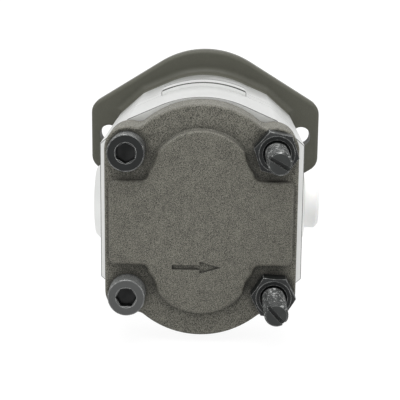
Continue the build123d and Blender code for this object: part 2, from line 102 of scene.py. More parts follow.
# Upper and lower arc of the housings: how far their centres stand off the middle, and their radius.
ARC_CENTRE = 5.1 * MM
ARC_RADIUS = 47.0 * MM
# Raised lands on the interstage plate.
LAND_RISE = 2.2 * MM
LAND_HALF_WIDTH = 20.5 * MM
# The screws' sockets, lead-in cones included, lie within this radius.
SOCKET_REACH = 4.9 * MM
# A thread's mean line lies this share of its pitch inside its crests.
MEAN_LINE = 0.325
RINGS_PER_TURN = 10
# Colour of the dark oil and painted shade along the housings' joints and the lands' edges.
JOINT_GRIME_AND_SHADE = (0.02, 0.02, 0.018)
# Colour of the painted shade laid in inner corners and recesses.
CORNER_SHADE_COLOUR = (0.012, 0.012, 0.01)
NO_TURN = (0.0, 0.0, 0.0)

INPUT_TYPES = {
    float: "NodeSocketFloat",
    int: "NodeSocketInt",
    tuple: "NodeSocketVector",
    type(None): "NodeSocketMaterial",
}
OUTPUT_TYPES = {"Geometry": "NodeSocketGeometry", "Normal": "NodeSocketVector"}

Colour = tuple[float, float, float]
Socket = bpy.types.NodeSocket
Values = dict[str | int, object]


class Body(Enum):
    """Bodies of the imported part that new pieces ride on."""

    HOUSING = "housing"


class Axis(Enum):
    """Direction in which a tool or a mill left its marks, as the stretch of their pattern."""

    ALONG_SHAFT = (1.0, 0.03, 1.0)
    EVEN = (1.0, 1.0, 1.0)


class NodeBench:
    """Adds and wires nodes in one shader or geometry tree."""

    def __init__(self, tree: bpy.types.NodeTree) -> None:
        """Wraps a tree.

        Args:
            tree: The shader or geometry tree to work in.
        """
        self.tree = tree

    def add(self, kind: str, inputs: Values | None = None, **settings: object) -> bpy.types.Node:
        """Adds a node.

        Args:
            kind: The node's type name.
            inputs: What its inputs are fed, by name or number.
            settings: Properties to set on it.

        Returns:
            The new node.
        """
        node = self.tree.nodes.new(kind)
        for name, value in settings.items():
            setattr(node, name, value)
        for key, value in (inputs or {}).items():
            self.feed(node.inputs[key], value)
        return node

    def feed(self, socket: Socket, value: object) -> None:
        """Links a socket's source to it, or sets its plain value.

        Args:
            socket: The input to feed.
            value: An output socket, or a number, colour or vector.
        """
        if isinstance(value, Socket):
            self.tree.links.new(value, socket)
        else:
            socket.default_value = value

    def math(self, operation: str, *values: object) -> Socket:
        """Adds a Math node.

        Args:
            operation: The node's operation.
            values: Its inputs, as sockets or numbers.

        Returns:
            The result's socket.
        """
        return self.add("ShaderNodeMath", dict(enumerate(values)), operation=operation).outputs[0]

    def vector(self, operation: str, *values: object) -> Socket:
        """Adds a Vector Math node.

        Args:
            operation: The node's operation.
            values: Its inputs, as sockets or vectors.

        Returns:
            The result's socket, a number for a dot product.
        """
        node = self.add("ShaderNodeVectorMath", dict(enumerate(values)), operation=operation)
        return node.outputs["Value" if operation == "DOT_PRODUCT" else "Vector"]

    def combine(self, x: object, y: object, z: object) -> Socket:
        """Makes a vector from three numbers.

        Args:
            x: First part.
            y: Second part.
            z: Third part.

        Returns:
            The vector's socket.
        """
        return self.add("ShaderNodeCombineXYZ", {0: x, 1: y, 2: z}).outputs[0]

    def separate(self, vector: object) -> list[Socket]:
        """Splits a vector into its three numbers.

        Args:
            vector: The vector's socket.

        Returns:
            The sockets for X, Y and Z.
        """
        return list(self.add("ShaderNodeSeparateXYZ", {0: vector}).outputs)

    def coordinates(self, kind: str = "Object") -> Socket:
        """Gives a texture coordinate.

        Args:
            kind: Its output's name.

        Returns:
            The coordinate's socket.
        """
        return self.add("ShaderNodeTexCoord").outputs[kind]

    def ramp(
        self, value: object, low: float, high: float, to_low: float = 0.0, to_high: float = 1.0
    ) -> Socket:
        """Maps a number smoothly from one range to another and clamps it.

        Args:
            value: The number's socket.
            low: Start of its range.
            high: End of its range.
            to_low: Result at the start.
            to_high: Result at the end.

        Returns:
            The result's socket.
        """
        inputs = dict(enumerate((value, low, high, to_low, to_high)))
        return self.add("ShaderNodeMapRange", inputs, interpolation_type="SMOOTHSTEP").outputs[0]

    def noise(self, vector: object, scale: object, detail: float, roughness: float = 0.5) -> Socket:
        """Adds a 3-D noise texture.

        Args:
            vector: Where it is read.
            scale: Its scale, per metre.
            detail: Number of octaves.
            roughness: Weight of the fine octaves.

        Returns:
            The noise value's socket.
        """
        inputs = {"Vector": vector, "Scale": scale, "Detail": detail, "Roughness": roughness}
        return self.add("ShaderNodeTexNoise", inputs).outputs[0]

    def tint(self, factor: object, first: object, second: object) -> Socket:
        """Mixes two colours.

        Args:
            factor: Share of the second.
            first: Colour or socket.
            second: Colour or socket.

        Returns:
            The colour's socket.
        """
        first, second = ((*c, 1.0) if isinstance(c, tuple) else c for c in (first, second))
        inputs = {"Factor": factor, 6: first, 7: second}
        return self.add("ShaderNodeMix", inputs, data_type="RGBA").outputs[2]

    def off_axes(self, across: object, height: object, centre: float) -> Socket:
        """Gives the distance from the nearer of two axes along Y, one above and one below the middle.

        Args:
            across: Distance from both axes to the side.
            height: Z of the place.
            centre: How far each axis stands off the middle.

        Returns:
            The distance's socket.
        """
        off_middle = self.math("ABSOLUTE", self.math("SUBTRACT", height, MIDDLE_Z))
        lift = self.math("SUBTRACT", off_middle, centre)
        square = self.math("MULTIPLY", lift, lift)
        return self.math("SQRT", self.math("MULTIPLY_ADD", across, across, square))

    def moved(self, mesh: object, shift: object, turn: object = NO_TURN) -> Socket:
        """Moves and turns a geometry.

        Args:
            mesh: The geometry's socket.
            shift: Where to.
            turn: Its turn, as angles about X, Y and Z.

        Returns:
            The moved geometry's socket.
        """
        inputs = {"Geometry": mesh, "Translation": shift, "Rotation": turn}
        return self.add("GeometryNodeTransform", inputs).outputs[0]

    def dressed(self, geometry: object, material: object) -> Socket:
        """Makes a geometry real and gives it its material, as every tree ends.

        Args:
            geometry: The geometry's socket.
            material: The material's socket.

        Returns:
            The finished geometry's socket.
        """
        real = self.add("GeometryNodeRealizeInstances", {0: geometry}).outputs[0]
        return self.add("GeometryNodeSetMaterial", {"Geometry": real, "Material": material}).outputs[0]


def new_group(
    name: str, kind: str, inputs: Values, wire: Callable[[NodeBench, Values], Values]
) -> bpy.types.NodeTree:
    """Makes a node group with named inputs and outputs.

    Args:
        name: The group's name.
        kind: ShaderNodeTree or GeometryNodeTree.
        inputs: Default value by name, none for a material.
        wire: Wires the group. It takes its bench and its input sockets by name, and it gives the
            sockets that leave the group by name.

    Returns:
        The group.
    """
    tree = bpy.data.node_groups.new(name, kind)
    for label, value in inputs.items():
        socket_type = INPUT_TYPES[type(value)]
        socket = tree.interface.new_socket(label, in_out="INPUT", socket_type=socket_type)
        if value is not None:
            socket.default_value = value
    bench = NodeBench(tree)
    entry = bench.add("NodeGroupInput")
    results = wire(bench, {label: entry.outputs[label] for label in inputs})
    for label in results:
        socket_type = OUTPUT_TYPES.get(label, "NodeSocketFloat")
        tree.interface.new_socket(label, in_out="OUTPUT", socket_type=socket_type)
    bench.add("NodeGroupOutput", results)
    return tree


class Effects:
    """Shader node groups that several finishes share.

    Each private method wires the group of its name. new_group says what it takes and gives.
    """

    def __init__(self, joints: dict[float, float]) -> None:
        """Builds each group once.

        Args:
            joints: Where the housings meet, along Y, with how much wider the painted shade lies there on the
                lands.
        """
        self.joints = joints
        self.cast_skin = self.group("cast_skin", self._cast_skin, Grain=1600.0, Specks=2400.0)
        self.tool_marks = self.group(
            "tool_marks", self._tool_marks, Direction=Axis.EVEN.value, Scale=900.0
        )
        self.edge_wear = self.group(
            "edge_wear", self._edge_wear, Radius=0.3 * MM, Sharpness=0.06, Patches=300.0
        )
        self.handling = self.group("handling", self._handling, Size=60.0)
        self.painted_corner_shade = self.group("painted_corner_shade", self._painted_corner_shade, Reach=5.0 * MM)
        self.joint_grime_and_shade = self.group("joint_grime_and_shade", self._joint_grime_and_shade, Reach=0.35 * MM, Rim=0.6 * MM)
        self.wear_and_shade_zones = self.group("wear_and_shade_zones", self._wear_and_shade_zones)
        self.scuffs = self.group("scuffs", self._scuffs, Size=800.0)

    @staticmethod
    def group(
        name: str, wire: Callable[[NodeBench, Values], Values], **inputs: object
    ) -> bpy.types.NodeTree:
        """Makes one shader group.

        Args:
            name: Its name.
            wire: The method that wires it.
            inputs: Its inputs' default values by name.

        Returns:
            The group.
        """
        return new_group(name, "ShaderNodeTree", inputs, wire)

    @staticmethod
    def _cast_skin(bench: NodeBench, given: Values) -> Values:
        """Sand grain of a blasted casting: its height, its tone and the bright specks on it, with painted
        glints added on faces that look up.
        """
        place = bench.coordinates()
        fine = bench.noise(place, given["Grain"], 3.0, 0.65)
        pit_scale = bench.math("MULTIPLY", given["Grain"], 0.7)
        pits = bench.add("ShaderNodeTexVoronoi", {"Vector": place, "Scale": pit_scale}, feature="SMOOTH_F1")
        lumps = bench.noise(place, bench.math("MULTIPLY", given["Grain"], 0.08), 2.0)
        pitted = bench.math("MULTIPLY", pits.outputs["Distance"], 0.3)
        rough = bench.math("MULTIPLY_ADD", fine, 0.7, pitted)
        drift = bench.math("MULTIPLY_ADD", lumps, 0.08, bench.math("SUBTRACT", fine, 0.04))
        sparks = bench.noise(bench.vector("ADD", place, (0.31, 0.17, 0.53)), given["Specks"], 1.0)
        # Faces that look up get more bright specks, as painted glints.
        glint_from_above = bench.ramp(bench.separate(bench.coordinates("Normal"))[2], 0.1, 0.6, 0.0, 0.09)
        return {
            "Height": bench.math("MULTIPLY_ADD", lumps, 0.4, rough),
            "Tone": bench.ramp(drift, 0.38, 0.62),
            "Speck And Glint": bench.ramp(bench.math("ADD", sparks, glint_from_above), 0.66, 0.76),
        }

    @staticmethod
    def _tool_marks(bench: NodeBench, given: Values) -> Values:
        """Fine parallel lines and a slow drift in tone, as extrusion and machining leave them."""
        place = bench.coordinates()
        stretched = bench.vector("MULTIPLY", place, given["Direction"])
        lines = bench.noise(stretched, given["Scale"], 4.0, 0.7)
        drift = bench.noise(place, bench.math("MULTIPLY", given["Scale"], 0.04), 2.0)
        tone = bench.math("MULTIPLY_ADD", drift, 0.6, bench.math("MULTIPLY", lines, 0.4))
        return {"Height": lines, "Tone": tone}

    @staticmethod
    def _edge_wear(bench: NodeBench, given: Values) -> Values:
        """Broken edges: a mask that marks them and a normal that rounds them."""
        soft = bench.add("ShaderNodeBevel", {"Radius": given["Radius"]}, samples=6).outputs[0]
        flat = bench.add("ShaderNodeNewGeometry").outputs["Normal"]
        turn = bench.math("SUBTRACT", 1.0, bench.vector("DOT_PRODUCT", soft, flat))
        spread = bench.noise(bench.coordinates(), given["Patches"], 3.0)
        patches = bench.ramp(spread, 0.35, 0.6, 0.35, 1.0)
        edge = bench.math("MINIMUM", bench.math("DIVIDE", turn, given["Sharpness"]), 1.0)
        return {"Mask": bench.math("MULTIPLY", edge, patches), "Normal": soft}

    @staticmethod
    def _handling(bench: NodeBench, given: Values) -> Values:
        """Faint smears of oil and fingerprints that change the gloss."""
        wide = bench.noise(bench.coordinates(), given["Size"], 5.0, 0.6)
        return {"Mask": bench.ramp(wide, 0.42, 0.68)}

    @staticmethod
    def _painted_corner_shade(bench: NodeBench, given: Values) -> Values:
        """Painted shade in inner corners, recesses and along the foot of raised fields, from an occlusion
        mask.
        """
        shade = bench.add("ShaderNodeAmbientOcclusion", {"Distance": given["Reach"]}, samples=8)
        return {"Mask": bench.ramp(shade.outputs["AO"], 0.45, 0.95, 1.0, 0.0)}

    def _joint_grime_and_shade(self, bench: NodeBench, given: Values) -> Values:
        """Dark oil and painted shade in the fine grooves where the housings meet, a wider painted shadow at
        the front edge of the land and painted shade along the lands' top edges.
        """
        x, y, z = bench.separate(bench.coordinates())
        facing = bench.math("ABSOLUTE", bench.separate(bench.coordinates("Normal"))[1])
        radius = bench.off_axes(x, z, ARC_CENTRE)
        middle = bench.math("LESS_THAN", bench.math("ABSOLUTE", x), LAND_HALF_WIDTH)
        raised = bench.math("GREATER_THAN", radius, ARC_RADIUS + 0.5 * LAND_RISE)
        on_land = bench.math("MULTIPLY", middle, raised)
        share = 1.0
        for joint, extra in self.joints.items():
            gap = bench.math("ABSOLUTE", bench.math("SUBTRACT", y, joint))
            # On the land the band widens into a painted shadow.
            reach = bench.math("MULTIPLY_ADD", on_land, extra, given["Reach"])
            share = bench.math("MINIMUM", share, bench.math("DIVIDE", gap, reach))
        near = bench.ramp(share, 0.6, 1.0, 1.0, 0.0)
        # The rim is a painted shade line along the top edges of the lands.
        rim_start = bench.math("SUBTRACT", ARC_RADIUS + LAND_RISE, given["Rim"])
        rim = bench.math("MULTIPLY", middle, bench.math("GREATER_THAN", radius, rim_start))
        sloping = bench.math("MAXIMUM", rim, bench.ramp(facing, 0.8, 0.95, 1.0, 0.0))
        return {"Mask": bench.math("MULTIPLY", near, sloping)}

    @staticmethod
    def _wear_and_shade_zones(bench: NodeBench, _: Values) -> Values:
        """Marks the worn screw at the lower left and the insides of the screws' sockets, which are kept
        black as painted shade.
        """
        x, y, z = bench.separate(bench.coordinates())
        left, low = bench.math("LESS_THAN", x, 0.0), bench.math("LESS_THAN", z, MIDDLE_Z)
        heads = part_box("cap_screws")
        across = bench.math("SUBTRACT", x, (heads[0].x + heads[1].x) / 2)
        half_spacing = (heads[1].z - heads[0].z) / 2 - (heads[1].x - heads[0].x) / 2
        inside = bench.math("LESS_THAN", bench.off_axes(across, z, half_spacing), SOCKET_REACH)
        depth = bench.math("SUBTRACT", y, heads[0].y)
        return {
            "Lower Left": bench.math("MULTIPLY", left, low),
            "Shaded Sockets": bench.math("MULTIPLY", inside, bench.ramp(depth, 0.8 * MM, 1.6 * MM)),
        }

    @staticmethod
    def _scuffs(bench: NodeBench, given: Values) -> Values:
        """Bright specks where a thread's crests have been rubbed, but not on the bar's flat end."""
        specks = bench.ramp(bench.noise(bench.coordinates(), given["Size"], 2.0), 0.53, 0.66)
        facing = bench.math("ABSOLUTE", bench.separate(bench.coordinates("Normal"))[1])
        return {"Mask": bench.math("MULTIPLY", specks, bench.ramp(facing, 0.93, 0.99, 1.0, 0.0))}


class ShaderBench(NodeBench):
    """Works in one material round its Principled shader."""

    def __init__(self, name: str) -> None:
        """Starts a material.

        Args:
            name: The material's name.
        """
        self.material = bpy.data.materials.new(name)
        self.material.use_nodes = True
        super().__init__(self.material.node_tree)
        self.shader = self.tree.nodes["Principled BSDF"]

    def shade(self, inputs: Values) -> None:
        """Feeds the Principled shader.

        Args:
            inputs: Its inputs by name.
        """
        for name, value in inputs.items():
            self.feed(self.shader.inputs[name], value)

    def group(self, tree: bpy.types.NodeTree, **values: object) -> bpy.types.NodeOutputs:
        """Puts a shared group in the material with its own values.

        Args:
            tree: The shared group.
            values: Input values by name.

        Returns:
            The group's outputs.
        """
        return self.add("ShaderNodeGroup", values, node_tree=tree).outputs

    def overlay(self, base: object, colour: object, mask: object, strength: object) -> Socket:
        """Lays a colour over another where a mask says so.

        Args:
            base: The colour below.
            colour: The colour on top.
            mask: Where it lies.
            strength: How much of it shows there.

        Returns:
            The colour's socket.
        """
        return self.tint(self.math("MULTIPLY", mask, strength), base, colour)

    def bump(self, height: object, depth: float, normal: object) -> None:
        """Feeds the shader's normal from a height.

        Args:
            height: The height's socket, 0 to 1.
            depth: How far 1 stands above 0, in metres.
            normal: The normal that it starts from.
        """
        inputs = {"Strength": 1.0, "Distance": depth, "Height": height, "Normal": normal}
        self.shade({"Normal": self.add("ShaderNodeBump", inputs).outputs["Normal"]})


@dataclass(frozen=True)
class Finish:
    """A surface finish. Each kind adds its own pattern to a Principled shader.

    Attributes:
        name: The material slot it is for.
        colour: Its main colour, linear.
        roughness: Its middle roughness.
        metallic: Share of bare metal.
        edge: Radius to which its edges are broken, in metres.
        specular: Strength of the reflection off its non-metal share.
        grime_and_shade: How dark the housings' joints look in it, dark oil and painted shade together.
    """

    name: str
    colour: Colour
    roughness: float
    metallic: float
    edge: float = 0.3 * MM
    specular: float = 0.5
    grime_and_shade: float = 0.0

    def build(self, effects: Effects) -> bpy.types.Material:
        """Makes the material.

        Args:
            effects: The shared node groups.

        Returns:
            The finished material.
        """
        bench = ShaderBench(f"{self.name}_finish")
        bench.shade({"Metallic": self.metallic, "Specular IOR Level": self.specular})
        self.pattern(bench, effects)
        return bench.material

    def pattern(self, bench: ShaderBench, effects: Effects) -> None:
        """Wires the pattern of this kind of finish.

        Args:
            bench: The material's bench.
            effects: The shared node groups.
        """
        raise NotImplementedError

    def toned(self, factor: float) -> Colour:
        """Gives the main colour, darker or lighter.

        Args:
            factor: What its parts are multiplied by.

        Returns:
            The colour, at most white.
        """
        return tuple(min(1.0, part * factor) for part in self.colour)

    def soil_and_shade(self, bench: ShaderBench, base: Socket, effects: Effects) -> Socket:
        """Darkens a colour in the joints of the housings, with dark oil in the grooves and painted shade
        there and along the lands.

        Args:
            bench: The material's bench.
            base: The colour's socket before the darkening.
            effects: The shared node groups.

        Returns:
            The darkened colour's socket.
        """
        if not self.grime_and_shade:
            return base
        # Lays dark oil and painted shade along the joints.
        return bench.overlay(base, JOINT_GRIME_AND_SHADE, bench.group(effects.joint_grime_and_shade)["Mask"], self.grime_and_shade)


@dataclass(frozen=True)
class CastIron(Finish):
    """Phosphated iron casting, blasted to a fine grain.

    Attributes:
        grain: Grain scale, per metre.
        depth: Height of the grain, in metres.
        contrast: How far the grain's tone swings.
        glint: How strongly the bright specks show.
        speck_and_glint: Colour of the bright specks.
        worn: Colour of the broken edges.
        bared: How much of it shows along them.
        corner_shade: How dark the painted shade in the inner corners is.
    """

    grain: float = 3600.0
    depth: float = 0.06 * MM
    contrast: float = 0.85
    # glint: How strongly the bright specks show, grain and painted glints alike.
    glint: float = 0.6
    # speck: Colour of the bright specks and painted glints.
    speck_and_glint: Colour = (0.36, 0.35, 0.32)
    worn: Colour = (0.28, 0.27, 0.25)
    bared: float = 0.35
    corner_shade: float = 0.75

    def pattern(self, bench: ShaderBench, effects: Effects) -> None:
        """Wires grain, specks with painted glints, lighter edges and painted shade in the corners. See
        Finish.pattern for the arguments.
        """
        skin = bench.group(effects.cast_skin, Grain=self.grain, Specks=self.grain * 1.5)
        edge = bench.group(effects.edge_wear, Radius=self.edge, Sharpness=0.12)
        corners = bench.group(effects.painted_corner_shade)
        base = bench.tint(skin["Tone"], self.toned(1.0 - self.contrast), self.toned(1.0 + self.contrast))
        # The specks are grain, with more of them as painted glints on faces that look up.
        base = bench.overlay(base, self.speck_and_glint, skin["Speck And Glint"], self.glint)
        base = bench.overlay(base, self.worn, edge["Mask"], self.bared)
        # Inner corners and recesses get painted shade from the occlusion mask.
        base = bench.overlay(base, CORNER_SHADE_COLOUR, corners["Mask"], self.corner_shade)
        gloss = bench.ramp(skin["Tone"], 0.0, 1.0, self.roughness + 0.1, self.roughness - 0.1)
        # The joints get dark oil and painted shade.
        bench.shade({"Base Color": self.soil_and_shade(bench, base, effects), "Roughness": gloss})
        bench.bump(skin["Height"], self.depth, edge["Normal"])


@dataclass(frozen=True)
class BareMetal(Finish):
    """Extruded, ground or turned metal with fine parallel marks.

    Attributes:
        marks: Direction of the marks.
        scale: Scale of the marks, per metre.
        depth: Height of the marks, in metres.
        contrast: How far the marks' tone swings.
    """

    marks: Axis = Axis.EVEN
    scale: float = 900.0
    depth: float = 0.01 * MM
    contrast: float = 0.06

    def pattern(self, bench: ShaderBench, effects: Effects) -> None:
        """Wires tool marks, smears and softened edges. See Finish.pattern for the arguments."""
        lines = bench.group(effects.tool_marks, Direction=self.marks.value, Scale=self.scale)
        smear = bench.group(effects.handling)
        edge = bench.group(effects.edge_wear, Radius=self.edge)
        base = bench.tint(lines["Tone"], self.toned(1.0 - self.contrast), self.toned(1.0 + self.contrast))
        swing = bench.math("MULTIPLY_ADD", smear["Mask"], 0.08, self.roughness - 0.04)
        gloss = bench.math("MULTIPLY_ADD", lines["Height"], 0.08, swing)
        # The joints get dark oil and painted shade.
        bench.shade({"Base Color": self.soil_and_shade(bench, base, effects), "Roughness": gloss})
        bench.bump(lines["Height"], self.depth, edge["Normal"])


@dataclass(frozen=True)
class BlackOxide(Finish):
    """Blackened steel that shows grey metal along its edges.

    Attributes:
        worn: Colour of the metal where the black has rubbed off.
        wear: How much of it shows along edges.
        rubbed: Share of the black that is gone from the lower left screw.
        scuffed: Strength of the bright specks on threads.
        depth: Height of the tool marks, in metres.
    """

    worn: Colour = (0.6, 0.61, 0.6)
    wear: float = 0.7
    rubbed: float = 0.0
    scuffed: float = 0.0
    depth: float = 0.02 * MM

    def pattern(self, bench: ShaderBench, effects: Effects) -> None:
        """Wires mottled black, rubbed zones and bare edges, with the sockets' insides kept black as painted
        shade. See Finish.pattern for the arguments.
        """
        edge = bench.group(effects.edge_wear, Radius=self.edge, Sharpness=0.04, Patches=500.0)
        smear = bench.group(effects.handling, Size=220.0)
        lines = bench.group(effects.tool_marks, Scale=1500.0)
        zones = bench.group(effects.wear_and_shade_zones)
        scuffs = bench.group(effects.scuffs)
        base = bench.overlay(self.colour, self.toned(1.7), smear["Mask"], 0.6)
        # Inside the sockets the edges and rubbed zones stay black: painted shade.
        unshaded = bench.math("SUBTRACT", 1.0, zones["Shaded Sockets"])
        rubbed = bench.math("MULTIPLY", zones["Lower Left"], self.rubbed)
        base = bench.overlay(base, self.worn, rubbed, unshaded)
        bare = bench.math("MULTIPLY", edge["Mask"], bench.math("MULTIPLY", unshaded, self.wear))
        bare = bench.math("MAXIMUM", bare, bench.math("MULTIPLY", scuffs["Mask"], self.scuffed))
        bench.shade(
            {
                "Base Color": bench.tint(bare, base, self.worn),
                "Metallic": bench.math("MAXIMUM", bare, self.metallic),
                "Roughness": bench.math("MULTIPLY_ADD", smear["Mask"], 0.14, self.roughness),
            }
        )
        bench.bump(lines["Height"], self.depth, edge["Normal"])


@dataclass(frozen=True)
class Moulded(Finish):
    """Moulded plastic or rubber with a faint matt texture.

    Attributes:
        grain: Scale of the texture, per metre.
        depth: Height of the texture, in metres.
        scatter: Share of light that passes into the surface.
        passes: How far red, green and blue light pass, in metres.
    """

    grain: float = 1200.0
    depth: float = 0.02 * MM
    scatter: float = 0.0
    passes: Colour = (1.2 * MM, 1.0 * MM, 0.8 * MM)

    def pattern(self, bench: ShaderBench, effects: Effects) -> None:
        """Wires the matt texture. See Finish.pattern for the arguments."""
        skin = bench.group(effects.tool_marks, Scale=self.grain)
        smear = bench.group(effects.handling, Size=120.0)
        edge = bench.group(effects.edge_wear, Radius=self.edge)
        bench.shade(
            {
                "Base Color": bench.tint(skin["Tone"], self.toned(0.96), self.colour),
                "Roughness": bench.math("MULTIPLY_ADD", smear["Mask"], 0.1, self.roughness),
                "Subsurface Weight": self.scatter,
                "Subsurface Radius": self.passes,
                "Subsurface Scale": 1.0,
            }
        )
        bench.bump(skin["Height"], self.depth, edge["Normal"])


class Finishes:
    """Every finish of the pump, by the material slot it stands for."""

    def __init__(self) -> None:
        """Builds all the materials."""
        front, middle, rear = (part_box(part) for part in ("front_body", "interstage_plate", "rear_body"))
        # The interstage's front face gets a wider band of painted shadow on the land.
        joints = {front[1].y: 0.0, middle[1].y: 2.8 * MM, middle[0].y: 0.0, rear[0].y: 0.0}
        effects = Effects(joints)
        kinds = (
            CastIron(
                "flange_iron", (0.079, 0.079, 0.061), 0.55, 0.0, specular=0.35, grime_and_shade=0.6,
                depth=0.02 * MM, contrast=0.12, glint=0.1
            ),
            CastIron(
                "cover_iron", (0.13, 0.126, 0.104), 0.62, 0.0, edge=0.2 * MM, specular=0.35, grime_and_shade=0.6
            ),
            BareMetal(
                "body_aluminium", (0.73, 0.737, 0.725), 0.34, 1.0, edge=0.1 * MM, grime_and_shade=0.95,
                marks=Axis.ALONG_SHAFT
            ),
            BareMetal("block_aluminium", (0.72, 0.73, 0.74), 0.4, 1.0),
            BareMetal("bush_bronze", (0.55, 0.36, 0.17), 0.35, 1.0),
            BareMetal("gear_steel", (0.56, 0.56, 0.57), 0.25, 1.0, edge=0.15 * MM, marks=Axis.ALONG_SHAFT),
            BlackOxide(
                "fastener_steel", (0.006, 0.007, 0.007), 0.42, 0.0, edge=0.35 * MM, specular=0.3,
                wear=0.85, rubbed=0.12
            ),
            BlackOxide(
                "stud_steel", (0.022, 0.024, 0.023), 0.36, 0.1, edge=0.12 * MM, specular=0.35,
                wear=0.6, scuffed=0.5
            ),
            BareMetal("pin_steel", (0.6, 0.6, 0.61), 0.2, 1.0),
            BlackOxide("ring_steel", (0.05, 0.05, 0.052), 0.4, 0.5),
            Moulded("seal_rubber", (0.02, 0.02, 0.021), 0.5, 0.0),
            Moulded("backup_plastic", (0.78, 0.78, 0.74), 0.45, 0.0),
            Moulded("plug_plastic", (0.97, 0.97, 0.955), 0.4, 0.0, scatter=0.3),
        )
        self.materials = {kind.name: kind.build(effects) for kind in kinds}

    def __getitem__(self, slot: str) -> bpy.types.Material:
        """Gives the material of a slot."""
        return self.materials[slot]


def carry_over(frame: dict, finishes: Finishes) -> None:
    """Dresses each CAD node in the finish of its material slot.

    Args:
        finishes: The materials by slot.
    """
    for part in frame["record"]["subparts"]:
        node = frame["nodes"][part["node"]]
        material = finishes[part["material_slot"]]
        if not node.material_slots:
            node.data.materials.append(material)
        for slot in node.material_slots:
            slot.material = material
        log.info("%s wears %s", node.name, material.name)


def run_tree(name: str, tree: bpy.types.NodeTree, values: dict[str, object]) -> bpy.types.Mesh:
    """Runs a geometry tree once and keeps its result as a plain mesh.

    Args:
        name: The mesh's name.
        tree: The geometry tree.
        values: Its input values by name.

    Returns:
        The mesh.
    """
    holder = bpy.data.objects.new(name, bpy.data.meshes.new(f"{name}_seed"))
    bpy.context.scene.collection.objects.link(holder)
    modifier = holder.modifiers.new(name, "NODES")
    modifier.node_group = tree
    for item in tree.interface.items_tree:
        if item.item_type == "SOCKET" and item.in_out == "INPUT" and item.name in values:
            modifier[item.identifier] = values[item.name]
    holder.update_tag()
    graph = bpy.context.evaluated_depsgraph_get()
    mesh = bpy.data.meshes.new_from_object(holder.evaluated_get(graph), depsgraph=graph)
    bpy.data.objects.remove(holder)
    mesh.name = name
    return mesh


def join_meshes(name: str, meshes: list[bpy.types.Mesh], material: bpy.types.Material) -> bpy.types.Mesh:
    """Joins meshes of one material into one.

    Args:
        name: The new mesh's name.
        meshes: The meshes to join.
        material: Their material.

    Returns:
        The joined mesh.
    """
    work = bmesh.new()
    for mesh in meshes:
        work.from_mesh(mesh)
    joined = bpy.data.meshes.new(name)
    for face in work.faces:
        face.material_index = 0
    work.to_mesh(joined)
    work.free()
    joined.materials.append(material)
    return joined


def add_piece(
    mesh: bpy.types.Mesh, body: Body, replaced: str | None, crease: float
) -> bpy.types.Object:
    """Puts a finished mesh in the scene and ties it to the frame.

    Args:
        mesh: The mesh, in its place.
        body: The body it rides on.
        replaced: The CAD node it stands for, if any.
        crease: Angle in degrees above which an edge stays sharp.

    Returns:
        The piece.
    """
    piece = bpy.data.objects.new(mesh.name, mesh)
    bpy.context.scene.collection.objects.link(piece)
    mesh.shade_smooth()
    mesh.set_sharp_from_angle(angle=math.radians(crease))
    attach(piece, body.value)
    if replaced:
        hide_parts(replaced)
    log.info("%s has %d faces", piece.name, len(mesh.polygons))
    return piece


